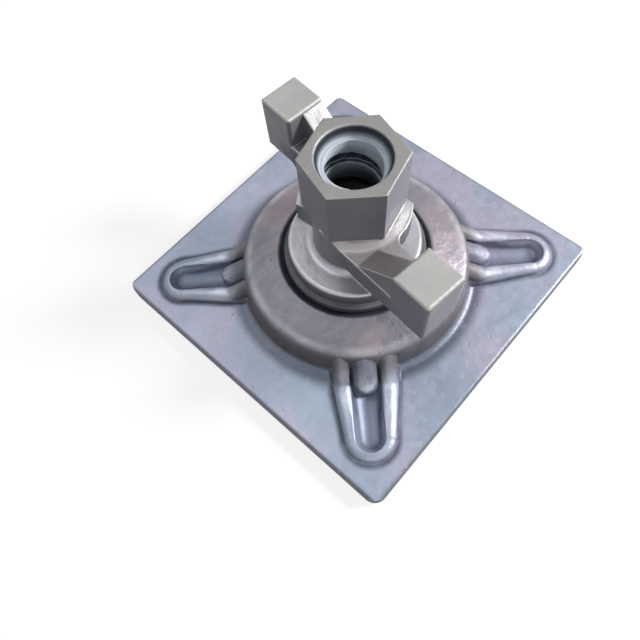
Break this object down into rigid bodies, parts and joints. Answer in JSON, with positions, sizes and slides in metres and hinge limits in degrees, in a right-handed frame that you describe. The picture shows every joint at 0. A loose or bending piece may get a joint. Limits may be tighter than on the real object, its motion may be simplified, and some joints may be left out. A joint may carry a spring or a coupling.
{
  "type": "swivel plate nut",
  "caption": "Ribbed square anchor plate with a domed ball seat that carries a hexagon-headed wing nut for a coarse-threaded formwork tie rod.",
  "frame": {"origin": "centre of the plate's bearing face, on the tie rod axis", "axes": "+Z runs along the tie rod, away from the formwork; +X and +Y run along the plate's sides"},
  "size_m": [0.11, 0.11, 0.061],
  "materials": {
    "anchor_plate": "cast, hot-dip galvanised, matt bluish grey",
    "wing_nut": "cast, galvanised, worn warm grey",
    "retaining_ring": "zinc plated spring steel"
  },
  "bodies": {
    "plate": {"anchor_plate": "anchor_plate"},
    "ring": {"retaining_ring": "retaining_ring"},
    "nut": {"wing_nut": "wing_nut"}
  },
  "joints": [
    {"name": "swivel_tilt", "type": "hinge", "parent": "plate", "child": "ring", "pos_m": [0, 0, 0.0492], "axis": [1, 0, 0], "range_deg": [-3.5, 3.5]},
    {"name": "nut_turn", "type": "hinge", "parent": "ring", "child": "nut", "pos_m": [0, 0, 0.0032], "axis": [0, 0, 1], "continuous": true}
  ]
}
